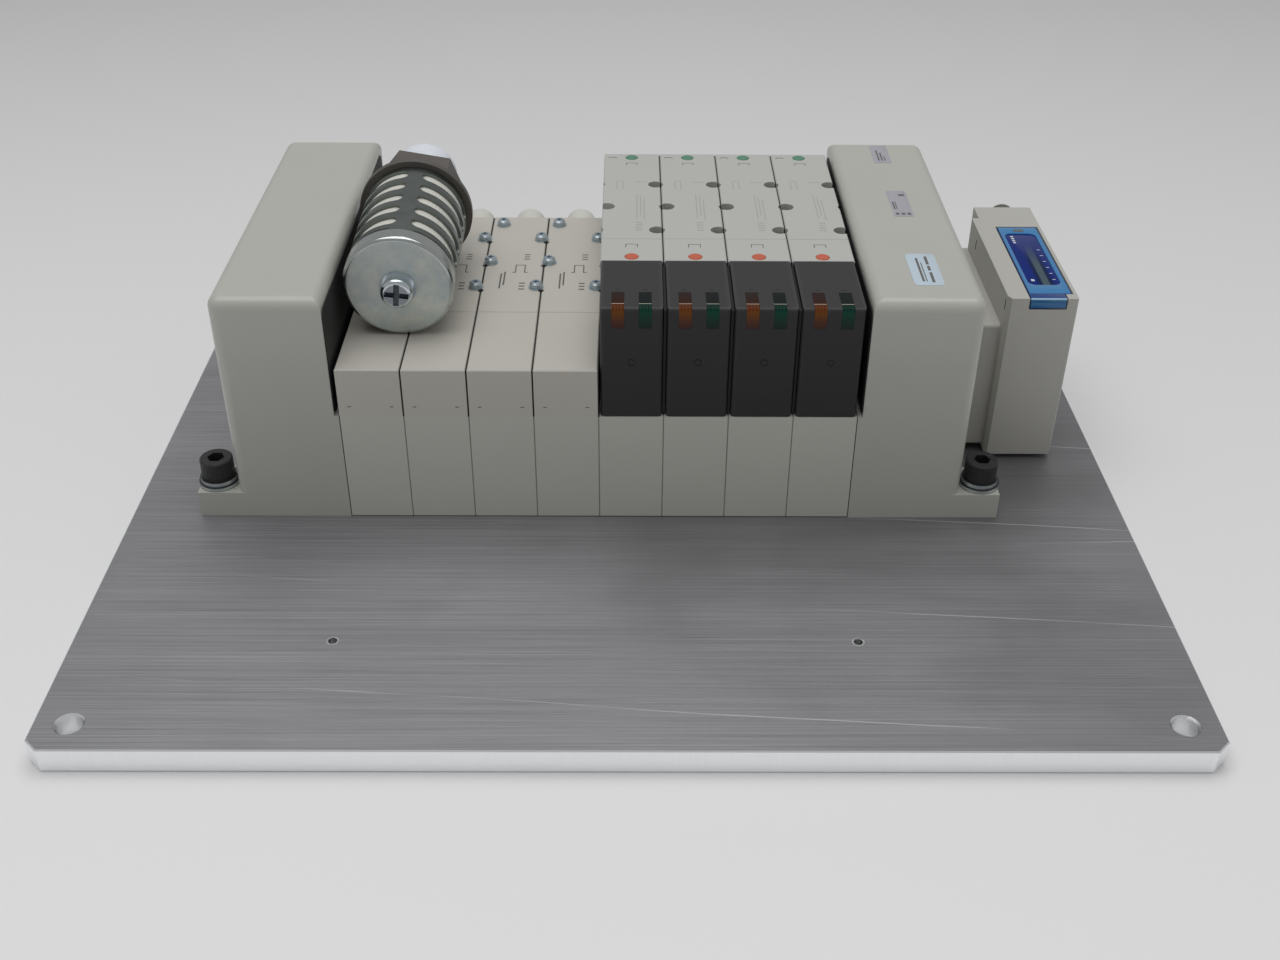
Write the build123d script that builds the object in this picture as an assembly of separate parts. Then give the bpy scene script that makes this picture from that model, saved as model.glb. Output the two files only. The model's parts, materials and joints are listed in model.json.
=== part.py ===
"""Pneumatic valve island bolted to a drilled mounting plate.

Millimetres, +Z up. X runs along the row of stations and Y from the front to the port side.
The origin is the centre of the plate's underside.
"""

import os
from math import cos, degrees, radians

from build123d import *

# Mounting plate
plate_length = 400.0
plate_depth = 350.0
plate_thickness = 10.0
plate_corner_chamfer = 5.0
plate_edge_chamfer = 0.6
corner_hole_diameter = 9.0
corner_hole_inset = 12.5
hole_chamfer = 0.8
tapped_hole_diameter = 3.3
tapped_hole_spacing = 189.0
tapped_hole_from_front = 55.0

# Row of stations
station_pitch = 25.0
station_count = 8
blank_count = 4
island_center_x = -12.0
island_front_margin = 132.0
base_depth = 175.0
base_height = 47.1
base_edge_chamfer = 0.35
stack_gap = 0.5

# Screws that hold valves and blanking plates to the base
small_screw_diameter = 3.0
small_hole_clearance = 0.1
small_screw_inset = 2.2
small_screw_first_row = 69.0
small_screw_row_pitch = 23.3
small_thread_depth = 8.0
spare_screw_from_edge = 5.0
spare_screw_y = 131.0

# Tie rods and port fittings in the base
tie_rod_diameter = 6.0
tie_rod_clearance = 0.1
tie_rod_grip = 20.0
tie_rod_y = (22.0, 148.0)
tie_rod_z = 24.0
fitting_diameter = 14.2
fitting_length = 22.0
fitting_shank_diameter = 10.0
fitting_shank_length = 8.0
fitting_socket_clearance = 0.05
fitting_port_diameter = 8.6
fitting_port_depth = 12.0
fitting_edge_chamfer = 1.0
fitting_upper_z = 39.8
fitting_spacing = 20.4

# End blocks
end_block_width = 44.0
end_block_height = 97.0
end_block_top_depth = 158.0
end_block_relief = 1.8
end_block_radius = 4.5
foot_width = 16.0
foot_height = 11.0
foot_depth = 20.0
foot_screw_from_block = 9.0
foot_screw_from_edge = 8.5
foot_hole_diameter = 8.5
supply_port_diameter = 18.6
exhaust_port_diameter = 24.1
end_port_depth = 20.0
end_port_from_seam = 23.0
supply_port_z = 24.0
exhaust_port_z = 72.0

# M8 mounting screws and their washers
screw_diameter = 8.0
screw_thread_clearance = 0.1
screw_length = 20.0
screw_head_diameter = 13.0
screw_head_height = 8.0
screw_key = 6.0
screw_key_depth = 4.0
screw_head_chamfer = 0.06  # share of the head's height
spring_washer_diameter = 14.6
spring_washer_thickness = 2.0
spring_washer_gap = 1.6
flat_washer_diameter = 16.0
flat_washer_thickness = 1.6
washer_hole_diameter = 8.4

# Blanking plates and their flanged screws
blank_depth = 139.5
blank_height = 20.5
blank_groove_y = 47.0
blank_groove = 0.25
notch_radius = 1.3
notch_depth = 2.0
notch_ahead = 2.8
flange_diameter = 6.2
flange_thickness = 0.6
small_head_diameter = 5.2
small_head_height = 2.8
small_head_dome = 0.7
small_slot_width = 0.9
small_slot_depth = 1.2

# Valves
valve_rear = 150.5
valve_height = 46.7
valve_edge_chamfer = 0.4
head_front = 40.4
head_rear = 60.5
counterbore_diameter = 6.5
counterbore_depth = 12.0
valve_screw_head_diameter = 5.5
valve_screw_head_height = 3.0
valve_screw_key = 2.5
valve_screw_key_depth = 1.5
spool_diameter = 10.0
spool_clearance = 0.05
spool_waist_diameter = 6.0
spool_bore_end = 138.0
spool_z = 22.0
spool_stroke = 1.5
spool_land = 9.0
spool_land_count = 5

# Manual override buttons
button_diameter = 5.5
button_clearance = 0.08
button_height = 6.0
button_edge_chamfer = 0.4
button_travel = 1.2
button_proud = 0.3
button_front_y = 44.1
button_rear_y = 146.0

# Station gaskets
gasket_width = 17.0
gasket_depth = 60.0
gasket_thickness = 1.2
gasket_clearance = 0.1
gasket_front = 63.0

# Front covers, lenses and pilot coils
cover_gap = 1.6
cover_setback = 0.4
cover_lift = 0.2
cover_wall = 1.2
cover_radius = 1.6
lens_width = 4.8
lens_offset = 5.1
lens_top_length = 13.3
lens_front_height = 8.4
lens_clearance = 0.05
test_ring_radius = 1.5
test_ring_width = 0.4
test_ring_depth = 0.3
test_ring_z = 24.0
coil_width = 9.6
coil_length = 30.0
coil_height = 26.0
coil_z = 5.0
coil_gap = 0.8
coil_cap_diameter = 7.0
coil_cap_length = 3.0

# Exhaust silencer
silencer_x = 23.0
silencer_y = 26.0
silencer_tilt = 4.0
silencer_turn = 6.5
shell_radius = 21.0
shell_wall = 1.0
shell_length = 60.0
cap_rim = 0.4
cap_edge_radius = 1.6
cap_length = 7.0
slot_rows = 6
slots_around = 4
slot_width = 6.2
slot_pitch = 9.55
slot_first = 5.6
slot_web = 5.5
element_clearance = 0.3
element_bore_radius = 9.0
body_flange_radius = 23.2
body_flange_length = 4.5
body_hex = 36.6
body_hex_length = 13.0
body_hex_turn = 3.5
body_thread_diameter = 26.4
body_thread_length = 20.0
body_bore_radius = 9.0
body_spigot_length = 6.0
bolt_diameter = 6.0
bolt_clearance = 0.2
bolt_head_diameter = 12.6
bolt_head_height = 5.0
bolt_head_edge_radius = 1.8
bolt_washer_diameter = 14.2
bolt_washer_thickness = 1.0
bolt_slot_width = 2.2
bolt_slot_span = 9.4
bolt_slot_depth = 2.4
bolt_bridge_length = 4.0

# Bus module
adapter_length = 19.5
adapter_front = 50.0
adapter_depth = 74.0
adapter_bottom = 3.0
adapter_height = 58.0
adapter_radius = 1.5
bus_width = 28.2
bus_front = 44.0
bus_depth = 89.5
bus_bottom = 2.0
bus_height = 74.0
bus_radius = 0.8
bus_bevel = 2.6
bus_notch_width = 3.0
bus_notch_depth = 12.0
lid_left = 8.6
lid_width = 18.0
lid_front = 4.5
lid_length = 64.0
lid_thickness = 1.6
lid_clearance = 0.2
tab_width = 15.0
tab_drop = 4.6
tab_thickness = 1.4
hinge_pin_radius = 0.6
hinge_pin_length = 1.0
hinge_pin_clearance = 0.05
pocket_margin = 2.6
pocket_front_margin = 6.0
pocket_depth = 8.0
board_thickness = 1.6
board_clearance = 0.3
dial_radius = 3.2
dial_height = 4.0
dial_slot_width = 0.8
dial_slot_depth = 1.2
dial_count = 2
dial_pitch = 12.0
connector_radius = 6.0
connector_edge_chamfer = 0.5
connector_length = 9.0
connector_flange_radius = 7.4
connector_flange_length = 2.0
connector_bore_radius = 4.4
connector_bore_depth = 7.0
connector_from_right = 9.7
connector_top_inset = 9.0
connector_spacing = 24.0

# Places that follow from the sizes above
plate_front = -plate_depth / 2
island_front = plate_front + island_front_margin
field_half = station_count * station_pitch / 2
field_left = island_center_x - field_half
valve_count = station_count - blank_count
base_top = plate_thickness + base_height
stack_width = station_pitch - stack_gap
seam_x = station_pitch / 2
screw_x = seam_x - small_screw_inset
screw_rows = [small_screw_first_row + row * small_screw_row_pitch for row in range(3)]
own_screws = [(screw_x, screw_rows[0]), (-screw_x, screw_rows[1]), (screw_x, screw_rows[2])]
neighbour_screws = [(x - station_pitch if x > 0 else x + station_pitch, y) for x, y in own_screws]
spare_screw = (-seam_x + spare_screw_from_edge, spare_screw_y)
small_hole_radius = small_screw_diameter / 2 + small_hole_clearance
end_block_outer = field_half + end_block_width
foot_screw_x = end_block_outer + foot_screw_from_block
foot_screw_y = (foot_screw_from_edge, base_depth - foot_screw_from_edge)
foot_top = plate_thickness + foot_height


def block(x0, x1, y0, y1, z0, z1):
    """A rectangular solid between two opposite corners."""
    size = Box(x1 - x0, y1 - y0, z1 - z0)
    return Pos((x0 + x1) / 2, (y0 + y1) / 2, (z0 + z1) / 2) * size


def rod(x, y, z0, z1, radius):
    """An upright round solid from z0 to z1."""
    return Pos(x, y, (z0 + z1) / 2) * Cylinder(radius, z1 - z0)


def rod_along_y(x, z, y0, y1, radius):
    """A round solid along Y from y0 to y1."""
    return Pos(x, (y0 + y1) / 2, z) * Rot(90, 0, 0) * Cylinder(radius, y1 - y0)


def rod_along_x(y, z, x0, x1, radius):
    """A round solid along X from x0 to x1."""
    return Pos((x0 + x1) / 2, y, z) * Rot(0, 90, 0) * Cylinder(radius, x1 - x0)


def turned(points, angle=360):
    """A solid of revolution about Z from an outline of (radius, height) points."""
    return revolve(Plane.XZ * make_face(Polyline(points, close=True)), Axis.Z, angle)


def hexagon(across_flats, height):
    """An upright hexagonal prism from z = 0."""
    return extrude(RegularPolygon(across_flats / 2, 6, major_radius=False), height)


def cross_recess(width, span, top, depth):
    """Two crossed slots, for a screwdriver."""
    slot = Pos(0, 0, top - depth / 2) * Box(width, span, depth)
    return slot + Rot(0, 0, 90) * slot


def save(name, shape):
    export_step(shape, f"parts/{name}.step")


def save_group(name, solids):
    """Separate solids of one kind that share a node."""
    save(name, Compound(children=[solid for shape in solids for solid in shape.solids()]))


def station_place(index, z=base_top):
    """Frame of a station: x centred on it, y = 0 at the island's front."""
    return Pos(field_left + (index + 0.5) * station_pitch, island_front, z)


def blank_station(index):
    return station_place(index)


def valve_station(index):
    return station_place(blank_count + index)


# Plate and base


def mounting_plate():
    outline = Rectangle(plate_length, plate_depth)
    outline = chamfer(outline.vertices(), plate_corner_chamfer)
    plate = extrude(outline, plate_thickness)
    rims = plate.edges().filter_by(Axis.Z, reverse=True)
    plate = chamfer(rims, plate_edge_chamfer)
    hole_radius = corner_hole_diameter / 2
    cone = Cone(hole_radius + hole_chamfer, hole_radius, hole_chamfer)
    corner_x = plate_length / 2 - corner_hole_inset
    corner_y = plate_depth / 2 - corner_hole_inset
    for x in (-corner_x, corner_x):
        for y in (-corner_y, corner_y):
            plate -= rod(x, y, 0, plate_thickness, hole_radius)
            plate -= Pos(x, y, plate_thickness - hole_chamfer / 2) * Rot(180, 0, 0) * cone
    for side in (-1, 1):
        x = island_center_x + side * tapped_hole_spacing / 2
        y = plate_front + tapped_hole_from_front
        plate -= rod(x, y, 0, plate_thickness, tapped_hole_diameter / 2)
    for x, y in foot_screw_places():
        plate -= rod(x, y, 0, plate_thickness, screw_diameter / 2 + screw_thread_clearance)
    return plate


def foot_screw_places():
    """Centres of the four M8 screws, in the part's frame."""
    sides = (island_center_x - foot_screw_x, island_center_x + foot_screw_x)
    return [(x, island_front + y) for x in sides for y in foot_screw_y]


def fitting_heights():
    """Heights of the two ports of a station above the plate."""
    return (fitting_upper_z, fitting_upper_z - fitting_spacing)


def manifold_block():
    body = block(-seam_x, seam_x, 0, base_depth, 0, base_height)
    side_rims = body.edges().filter_by(Axis.X, reverse=True)
    body = chamfer(side_rims, base_edge_chamfer)
    for x, y in own_screws + [spare_screw]:
        body -= rod(x, y, base_height - small_thread_depth, base_height, small_hole_radius)
    for y in tie_rod_y:
        radius = tie_rod_diameter / 2 + tie_rod_clearance
        body -= rod_along_x(y, tie_rod_z, -seam_x, seam_x, radius)
    socket_radius = fitting_shank_diameter / 2 + fitting_socket_clearance
    for z in fitting_heights():
        body -= rod_along_y(0, z, base_depth - fitting_shank_length, base_depth, socket_radius)
    return body


def port_fitting():
    """A round port fitting along +Z, its shoulder at z = 0."""
    radius = fitting_diameter / 2
    port = fitting_port_diameter / 2
    floor = fitting_length - fitting_port_depth
    shank = fitting_shank_diameter / 2
    return turned([
        (0, -fitting_shank_length), (shank, -fitting_shank_length), (shank, 0), (radius, 0),
        (radius, fitting_length - fitting_edge_chamfer),
        (radius - fitting_edge_chamfer, fitting_length), (port, fitting_length),
        (port, floor), (0, floor),
    ])


def tie_rods():
    reach = field_half + tie_rod_grip
    height = plate_thickness + tie_rod_z
    return [
        rod_along_x(island_front + y, height, island_center_x - reach, island_center_x + reach,
                    tie_rod_diameter / 2)
        for y in tie_rod_y
    ]


def end_block():
    """The right-hand end block: seam with the base at x = 0, outside towards +X."""
    outer = end_block_width
    toe = outer + foot_width
    lower = block(0, outer, 0, base_depth, 0, base_height)
    upper = block(end_block_relief, outer, 0, end_block_top_depth, 0, end_block_height)
    top_face = upper.faces().sort_by(Axis.Z)[-1]
    corner_edges = upper.edges().filter_by(Axis.Z).group_by(Axis.X)[-1]
    upper = fillet(top_face.edges() + corner_edges, end_block_radius)
    rear_corner = lower.edges().filter_by(Axis.Z).group_by(Axis.X)[-1]
    lower = fillet(rear_corner, end_block_radius)
    body = upper + lower
    for y in (0, base_depth - foot_depth):
        body += block(outer / 2, toe, y, y + foot_depth, 0, foot_height)
    for y in foot_screw_y:
        body -= rod(outer + foot_screw_from_block, y, 0, foot_height, foot_hole_diameter / 2)
    for y in tie_rod_y:
        radius = tie_rod_diameter / 2 + tie_rod_clearance
        body -= rod_along_x(y, tie_rod_z, 0, tie_rod_grip, radius)
    ports = (
        (base_depth, supply_port_z, supply_port_diameter),
        (end_block_top_depth, exhaust_port_z, exhaust_port_diameter),
    )
    for y, z, diameter in ports:
        body -= rod_along_y(end_port_from_seam, z, y - end_port_depth, y, diameter / 2)
    return body


# Fasteners


def cap_screw(diameter, length, head_diameter, head_height, key, key_depth):
    """A socket cap screw, its head seated at z = 0."""
    head = rod(0, 0, 0, head_height, head_diameter / 2)
    rim = head.edges().sort_by(Axis.Z)[-1]
    head = chamfer(rim, head_height * screw_head_chamfer)
    socket = Pos(0, 0, head_height - key_depth) * hexagon(key, key_depth)
    return head + rod(0, 0, -length, 0, diameter / 2) - socket


def washer(outer, hole, thickness):
    return rod(0, 0, 0, thickness, outer / 2) - rod(0, 0, 0, thickness, hole / 2)


def spring_washer():
    ring = washer(spring_washer_diameter, washer_hole_diameter, spring_washer_thickness)
    split = block(0, spring_washer_diameter, -spring_washer_gap / 2, spring_washer_gap / 2,
                  0, spring_washer_thickness)
    return ring - split


def flanged_screw(length):
    """A flanged screw with a cross recess, seated at z = 0."""
    head = small_head_diameter / 2
    shank = small_screw_diameter / 2
    dome = small_head_dome
    body = turned([
        (0, -length), (shank, -length), (shank, 0), (flange_diameter / 2, 0),
        (flange_diameter / 2, flange_thickness), (head, flange_thickness),
        (head, small_head_height - dome), (head - dome, small_head_height),
        (0, small_head_height),
    ])
    return body - cross_recess(small_slot_width, head, small_head_height, small_slot_depth)


# Blanking plates and gaskets


def gasket_pocket(clearance):
    half = gasket_width / 2 + clearance
    front = gasket_front - clearance
    rear = gasket_front + gasket_depth + clearance
    return block(-half, half, front, rear, 0, gasket_thickness)


def blank_plate():
    body = block(-stack_width / 2, stack_width / 2, 0, blank_depth, 0, blank_height)
    body = chamfer(body.faces().sort_by(Axis.Z)[-1].edges(), valve_edge_chamfer)
    body -= block(-seam_x, seam_x, blank_groove_y, blank_groove_y + blank_groove,
                  blank_height - blank_groove, blank_height)
    for x, y in own_screws + [spare_screw]:
        body -= rod(x, y, 0, blank_height, small_hole_radius)
    for y in screw_rows:
        for x in (-seam_x, seam_x):
            body -= rod(x, y - notch_ahead, blank_height - notch_depth, blank_height, notch_radius)
    return body - gasket_pocket(gasket_clearance)


# Valves


def valve_body():
    body = block(-stack_width / 2, stack_width / 2, head_rear, valve_rear, 0, valve_height)
    body = chamfer(body.faces().sort_by(Axis.Z)[-1].edges(), valve_edge_chamfer)
    for x, y in own_screws:
        floor = valve_height - counterbore_depth
        body -= rod(x, y, floor, valve_height, counterbore_diameter / 2)
        body -= rod(x, y, 0, valve_height, small_hole_radius)
    for x, y in neighbour_screws:
        body -= rod(x, y, 0, valve_height, counterbore_diameter / 2)
    bore = spool_diameter / 2 + spool_clearance
    body -= rod_along_y(0, spool_z, head_rear, spool_bore_end, bore)
    body -= button_bore(button_rear_y)
    return body - gasket_pocket(gasket_clearance)


def pilot_head():
    body = block(-stack_width / 2, stack_width / 2, head_front, head_rear, 0, valve_height)
    body = chamfer(body.faces().sort_by(Axis.Z)[-1].edges(), valve_edge_chamfer)
    return body - button_bore(button_front_y)


def button_bore(y):
    depth = button_height + button_travel - button_proud + button_clearance
    radius = button_diameter / 2 + button_clearance
    return rod(0, y, valve_height - depth, valve_height, radius)


def override_button(y):
    top = valve_height + button_proud
    button = rod(0, y, top - button_height, top, button_diameter / 2)
    return chamfer(button.edges().sort_by(Axis.Z)[-1], button_edge_chamfer)


def valve_spool():
    """A spool with equal lands, centred in its bore so that it can travel both ways."""
    front = head_rear + spool_stroke + spool_clearance
    rear = spool_bore_end - spool_stroke - spool_clearance
    spool = rod_along_y(0, spool_z, front, rear, spool_waist_diameter / 2)
    step = (rear - front - spool_land) / (spool_land_count - 1)
    for index in range(spool_land_count):
        start = front + index * step
        spool += rod_along_y(0, spool_z, start, start + spool_land, spool_diameter / 2)
    return spool


def valve_screw():
    seat = valve_height - counterbore_depth
    screw = cap_screw(small_screw_diameter, seat + small_thread_depth - small_screw_diameter / 2,
                      valve_screw_head_diameter, valve_screw_head_height,
                      valve_screw_key, valve_screw_key_depth)
    return Pos(0, 0, seat) * screw


def cover_skin():
    """The front cover as a thin skin, open at the back and below."""
    half = (station_pitch - cover_gap) / 2
    outside = block(-half, half, cover_setback, head_front, cover_lift, valve_height)
    front = outside.faces().sort_by(Axis.Y)[0]
    top = outside.faces().sort_by(Axis.Z)[-1]
    rounded = front.edges().filter_by(Axis.Z) + top.edges().group_by(Axis.Y)[0]
    outside = fillet(rounded, cover_radius)
    inner = half - cover_wall
    inside = block(-inner, inner, cover_setback + cover_wall, head_front, cover_lift,
                   valve_height - cover_wall)
    return outside - inside


def lens_zone(side, clearance):
    """The part of the cover's upper front edge that a lens takes the place of."""
    centre = side * lens_offset
    half = lens_width / 2 - clearance
    rear = cover_setback + lens_top_length - clearance
    bottom = valve_height - lens_front_height + clearance
    return block(centre - half, centre + half, 0, rear, bottom, valve_height)


def light_cover():
    cover = cover_skin() - lens_zone(-1, 0) - lens_zone(1, 0)
    start = cover_setback
    ring = rod_along_y(0, test_ring_z, start, start + test_ring_depth, test_ring_radius)
    ring -= rod_along_y(0, test_ring_z, start, start + test_ring_depth,
                        test_ring_radius - test_ring_width)
    return cover - ring


def lens(side):
    return cover_skin() & lens_zone(side, lens_clearance)


def pilot_coil(side):
    centre = side * (coil_width + coil_gap) / 2
    start = head_front - coil_length
    coil = block(centre - coil_width / 2, centre + coil_width / 2, start, head_front,
                 coil_z, coil_z + coil_height)
    middle = coil_z + coil_height / 2
    return coil + rod_along_y(centre, middle, start - coil_cap_length, start, coil_cap_diameter / 2)


# Exhaust silencer, built along +Z from the front of its cap


def silencer_cap():
    """A drawn cup over the front end of the shell, its edge rounded."""
    rim = shell_radius + cap_rim
    hole = bolt_diameter / 2 + bolt_clearance
    cap = turned([
        (hole, 0), (rim, 0), (rim, cap_length), (shell_radius, cap_length),
        (shell_radius, shell_wall), (hole, shell_wall),
    ])
    front_edge = cap.edges().group_by(Axis.Z)[0].sort_by(SortBy.RADIUS)[-1]
    return fillet(front_edge, cap_edge_radius)


def slot_cutter():
    """One round-ended slot round the shell, at z = 0, from the web at +X onwards."""
    outer = shell_radius + shell_wall
    inner = shell_radius - 2 * shell_wall
    end_angle = degrees((slot_web / 2 + slot_width / 2) / shell_radius)
    sweep = 360 / slots_around - 2 * end_angle
    half = slot_width / 2
    band = turned([(inner, -half), (outer, -half), (outer, half), (inner, half)], sweep)
    cutter = Rot(0, 0, end_angle) * band
    for angle in (end_angle, end_angle + sweep):
        end = Pos((inner + outer) / 2, 0, 0) * Rot(0, 90, 0) * Cylinder(half, outer - inner)
        cutter += Rot(0, 0, angle) * end
    return cutter


def silencer_shell():
    """A rolled tube with rows of slots; its seam crosses the middle of one column of slots."""
    tube = rod(0, 0, shell_wall, shell_length, shell_radius)
    tube -= rod(0, 0, shell_wall, shell_length, shell_radius - shell_wall)
    tube = Rot(0, 0, 180 / slots_around) * tube
    cutter = slot_cutter()
    for row in range(slot_rows):
        for column in range(slots_around):
            turn = Rot(0, 0, 90 + column * 360 / slots_around)
            tube -= Pos(0, 0, slot_first + row * slot_pitch) * turn * cutter
    return tube


def silencer_element():
    outer = shell_radius - shell_wall - element_clearance
    return (rod(0, 0, shell_wall, shell_length, outer)
            - rod(0, 0, shell_wall, shell_length, element_bore_radius))


def silencer_body():
    """Cast end with its hexagon, pipe thread and a bridge that takes the bolt."""
    hex_start = shell_length + body_flange_length
    thread_start = hex_start + body_hex_length
    end = thread_start + body_thread_length
    flange = rod(0, 0, shell_length, hex_start, body_flange_radius)
    flange = chamfer(flange.edges().sort_by(Axis.Z)[-1], body_flange_length / 3)
    nut = Rot(0, 0, body_hex_turn) * hexagon(body_hex, body_hex_length)
    body = flange + Pos(0, 0, hex_start) * nut
    body += rod(0, 0, thread_start, end, body_thread_diameter / 2)
    body -= rod(0, 0, shell_length + bolt_bridge_length, end, body_bore_radius)
    window = block(bolt_diameter, body_bore_radius, -bolt_diameter / 2, bolt_diameter / 2,
                   shell_length, hex_start)
    body -= window + Rot(0, 0, 180) * window
    return body - rod(0, 0, shell_length, end, bolt_diameter / 2 + bolt_clearance)


def silencer_screw():
    """Pan head bolt and its captive washer, with the shank down through the bridge."""
    head_top = -bolt_head_height - bolt_washer_thickness
    tip = shell_length + bolt_bridge_length + 2 * bolt_clearance
    head = bolt_head_diameter / 2
    washer_radius = bolt_washer_diameter / 2
    bolt = turned([
        (0, head_top), (head, head_top), (head, -bolt_washer_thickness),
        (washer_radius, -bolt_washer_thickness), (washer_radius, 0),
        (bolt_diameter / 2, 0), (bolt_diameter / 2, tip), (0, tip),
    ])
    bolt = fillet(bolt.edges().group_by(Axis.Z)[0], bolt_head_edge_radius)
    top = head_top + bolt_slot_depth
    return bolt - cross_recess(bolt_slot_width, bolt_slot_span, top, bolt_slot_depth)


def silencer_place():
    """Rim on the blanking plates, shell on a screw head, thread end tilted up."""
    rim_bottom = base_top + blank_height
    lift = (shell_radius + cap_rim) / cos(radians(silencer_tilt))
    front = Pos(field_left + silencer_x, island_front + silencer_y, rim_bottom + lift)
    return front * Rot(silencer_tilt - 90, 0, 0) * Rot(0, 0, silencer_turn)


# Bus module, built from its lower front left corner


def bus_place():
    x = island_center_x + end_block_outer + adapter_length
    return Pos(x, island_front + bus_front, plate_thickness + bus_bottom)


def bus_adapter():
    x = island_center_x + end_block_outer
    y = island_front + adapter_front
    z = plate_thickness + adapter_bottom
    body = block(x, x + adapter_length, y, y + adapter_depth, z, z + adapter_height)
    return fillet(body.edges().filter_by(Axis.X), adapter_radius)


def lid_zone(clearance):
    """Room of the display cover in the top of the housing."""
    left = lid_left - clearance
    right = lid_left + lid_width + clearance
    rear = lid_front + lid_length + clearance
    floor = bus_height - lid_thickness - clearance
    tab_right = lid_left + tab_width + clearance
    zone = block(left, right, lid_front - clearance, rear, floor, bus_height)
    zone += block(left, tab_right, 0, lid_front, floor, bus_height)
    return zone + block(left, tab_right, 0, tab_thickness + clearance,
                        bus_height - tab_drop - clearance, bus_height)


def hinge_axis():
    """Height and depth of the display cover's hinge in the housing."""
    radius = lid_thickness / 2
    return lid_front + lid_length - radius, bus_height - radius


def bus_housing():
    body = block(0, bus_width, 0, bus_depth, 0, bus_height)
    uprights = body.edges().filter_by(Axis.Z).sort_by(Axis.X)
    front_left = uprights[:2].sort_by(Axis.Y)[0]
    body = chamfer(front_left, bus_bevel, bus_bevel / 2)
    body -= block(0, bus_notch_width, bus_depth - bus_notch_depth, bus_depth, 0, bus_height)
    right_edges = body.edges().filter_by(Axis.Z).group_by(Axis.X)[-1]
    body = fillet(right_edges, bus_radius)
    body -= lid_zone(lid_clearance)
    pin_y, pin_z = hinge_axis()
    reach = hinge_pin_length + lid_clearance
    body -= rod_along_x(pin_y, pin_z, lid_left - reach, lid_left + lid_width + reach,
                        hinge_pin_radius + hinge_pin_clearance)
    return body - switch_pocket()


def switch_pocket():
    top = bus_height - lid_thickness - lid_clearance
    return block(lid_left + pocket_margin, lid_left + lid_width - pocket_margin,
                 lid_front + pocket_front_margin, lid_front + lid_length - pocket_front_margin,
                 top - pocket_depth, top)


def display_cover():
    """Hinged lid with a round rear edge, two hinge stubs and a tab over the front."""
    pin_y, pin_z = hinge_axis()
    right = lid_left + lid_width
    floor = bus_height - lid_thickness
    lid = block(lid_left, right, lid_front, pin_y, floor, bus_height)
    lid += rod_along_x(pin_y, pin_z, lid_left, right, lid_thickness / 2)
    lid += block(lid_left, lid_left + tab_width, 0, lid_front, floor, bus_height)
    lid += block(lid_left, lid_left + tab_width, 0, tab_thickness, bus_height - tab_drop, floor)
    return lid + rod_along_x(pin_y, pin_z, lid_left - hinge_pin_length, right + hinge_pin_length,
                             hinge_pin_radius)


def switch_board():
    pocket = switch_pocket().bounding_box()
    gap = board_clearance
    board = block(pocket.min.X + gap, pocket.max.X - gap, pocket.min.Y + gap, pocket.max.Y - gap,
                  pocket.min.Z, pocket.min.Z + board_thickness)
    centre = pocket.center()
    for index in range(dial_count):
        y = centre.Y + (index - (dial_count - 1) / 2) * dial_pitch
        top = pocket.min.Z + board_thickness
        dial = rod(centre.X, y, top, top + dial_height, dial_radius)
        slot = block(centre.X - dial_radius, centre.X + dial_radius,
                     y - dial_slot_width / 2, y + dial_slot_width / 2,
                     top + dial_height - dial_slot_depth, top + dial_height)
        board += dial - slot
    return board


def bus_connector():
    """Threaded round connector along +Z, its flange seated at z = 0."""
    barrel = rod(0, 0, 0, connector_flange_length + connector_length, connector_radius)
    barrel = chamfer(barrel.edges().sort_by(Axis.Z)[-1], connector_edge_chamfer)
    flange = rod(0, 0, 0, connector_flange_length, connector_flange_radius)
    top = connector_flange_length + connector_length
    bore = rod(0, 0, top - connector_bore_depth, top, connector_bore_radius)
    return barrel + flange - bore


def connector_places():
    x = bus_width - connector_from_right
    top = bus_height - connector_top_inset
    return [Pos(x, bus_depth, z) * Rot(-90, 0, 0) for z in (top, top - connector_spacing)]


# Assembly


def save_base():
    save("mounting_plate", mounting_plate())
    block_shape = manifold_block()
    for index in range(station_count):
        save(f"manifold_block_{index + 1}", station_place(index, plate_thickness) * block_shape)
    save_group("tie_rods", tie_rods())
    seat = Pos(island_center_x + field_half, island_front, plate_thickness)
    right = end_block()
    save("end_block_right", seat * right)
    left_seat = Pos(island_center_x - field_half, island_front, plate_thickness)
    save("end_block_left", left_seat * mirror(right, Plane.YZ))
    fitting = port_fitting()
    fittings = [
        station_place(index, plate_thickness) * Pos(0, base_depth, z) * Rot(-90, 0, 0) * fitting
        for z in fitting_heights() for index in range(station_count)
    ]
    save_group("port_fittings", fittings)


def save_mounting_screws():
    places = foot_screw_places()
    flat = washer(flat_washer_diameter, washer_hole_diameter, flat_washer_thickness)
    spring_seat = foot_top + flat_washer_thickness
    head_seat = spring_seat + spring_washer_thickness
    screw = cap_screw(screw_diameter, screw_length, screw_head_diameter, screw_head_height,
                      screw_key, screw_key_depth)
    save_group("flat_washers", [Pos(x, y, foot_top) * flat for x, y in places])
    save_group("spring_washers", [Pos(x, y, spring_seat) * spring_washer() for x, y in places])
    save_group("mounting_screws", [Pos(x, y, head_seat) * screw for x, y in places])


def save_blanks():
    plate = blank_plate()
    screw = flanged_screw(blank_height + small_thread_depth - small_screw_diameter / 2)
    screws = []
    for index in range(blank_count):
        place = blank_station(index)
        save(f"blank_plate_{index + 1}", place * plate)
        for x, y in own_screws + [spare_screw]:
            screws.append(place * Pos(x, y, blank_height) * screw)
    save_group("blank_screws", screws)


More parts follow.
